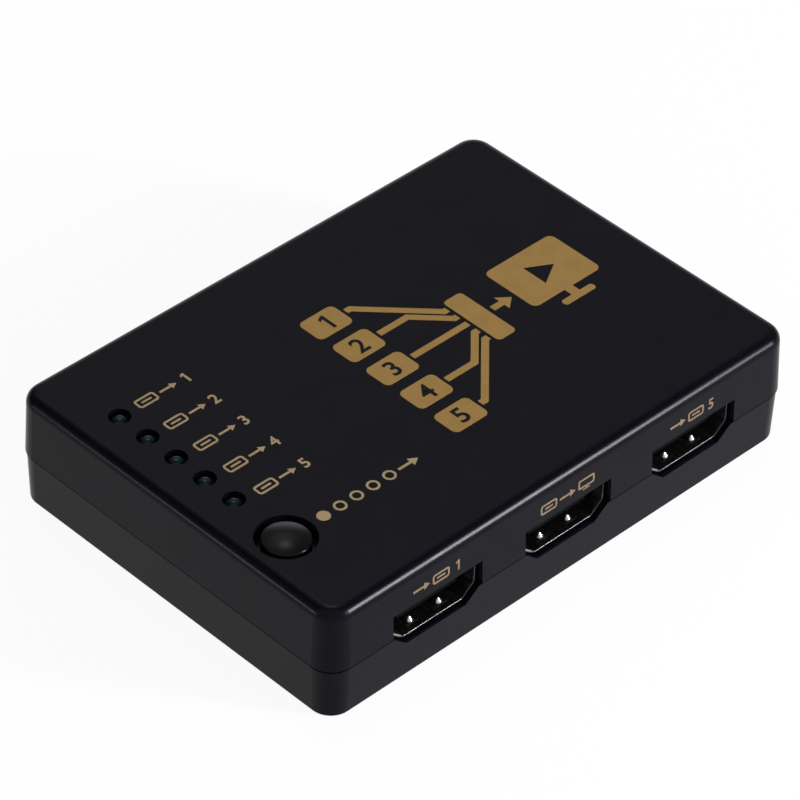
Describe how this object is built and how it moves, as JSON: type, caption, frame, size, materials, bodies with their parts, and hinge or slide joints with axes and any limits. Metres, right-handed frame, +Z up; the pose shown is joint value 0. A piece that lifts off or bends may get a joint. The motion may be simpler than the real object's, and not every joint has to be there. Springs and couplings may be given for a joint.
{
  "type": "hdmi switch box",
  "caption": "Flat black plastic box that switches video inputs to one output, with socket rows, indicator lights and a domed select button.",
  "frame": {"origin": "middle of the underside", "axes": "+X along the socket sides, with the lights and button at the -X end, -Y out of the front sockets, +Z up"},
  "size_m": [0.085, 0.0608, 0.0183],
  "materials": {
    "case": "satin black",
    "button": "gloss black",
    "lens": "clear dark green",
    "socket_steel": "plated",
    "inner_plastic": "satin black",
    "gold": "gold plated",
    "screw_steel": "zinc plated",
    "tin": "tin plated",
    "board": "green solder mask",
    "chip": "matte black",
    "can": "satin",
    "ceramic": "matte tan"
  },
  "bodies": {
    "case": {"top_cover": "case", "bottom_cover": "case", "case_screws": "screw_steel", "main_board": "board", "switch_base": "inner_plastic", "switch_plate": "tin", "switch_dome": "tin", "switch_pins": "tin", "power_jack": "inner_plastic", "power_jack_pin": "tin", "power_jack_contacts": "tin", "receiver_jack": "inner_plastic", "receiver_jack_contacts": "tin", "switch_chip": "chip", "switch_chip_pins": "tin", "control_chip": "chip", "control_chip_pins": "tin", "regulator": "chip", "regulator_pins": "tin", "crystal": "tin", "can_capacitors": "can", "chip_resistors": "chip", "chip_capacitors": "ceramic", "hdmi_shell_in1": "socket_steel", "hdmi_insulator_in1": "inner_plastic", "hdmi_contacts_in1": "gold", "hdmi_shell_out": "socket_steel", "hdmi_insulator_out": "inner_plastic", "hdmi_contacts_out": "gold", "hdmi_shell_in5": "socket_steel", "hdmi_insulator_in5": "inner_plastic", "hdmi_contacts_in5": "gold", "hdmi_shell_in4": "socket_steel", "hdmi_insulator_in4": "inner_plastic", "hdmi_contacts_in4": "gold", "hdmi_shell_in3": "socket_steel", "hdmi_insulator_in3": "inner_plastic", "hdmi_contacts_in3": "gold", "hdmi_shell_in2": "socket_steel", "hdmi_insulator_in2": "inner_plastic", "hdmi_contacts_in2": "gold", "light_lens_1": "lens", "light_leads_1": "tin", "light_lens_2": "lens", "light_leads_2": "tin", "light_lens_3": "lens", "light_leads_3": "tin", "light_lens_4": "lens", "light_leads_4": "tin", "light_lens_5": "lens", "light_leads_5": "tin"},
    "button": {"select_button": "button"},
    "plunger": {"switch_plunger": "inner_plastic"}
  },
  "joints": [
    {"name": "button_press", "type": "slide", "parent": "case", "child": "button", "axis": [0, 0, -1], "range_m": [0, 0.0003], "stiffness_N_per_m": 4000},
    {"name": "plunger_press", "type": "slide", "parent": "case", "child": "plunger", "axis": [0, 0, -1], "range_m": [0, 0.0003], "deforming": ["switch_dome"]}
  ],
  "couplings": [
    {"joint": "plunger_press", "follows": "button_press", "ratio": 1}
  ]
}
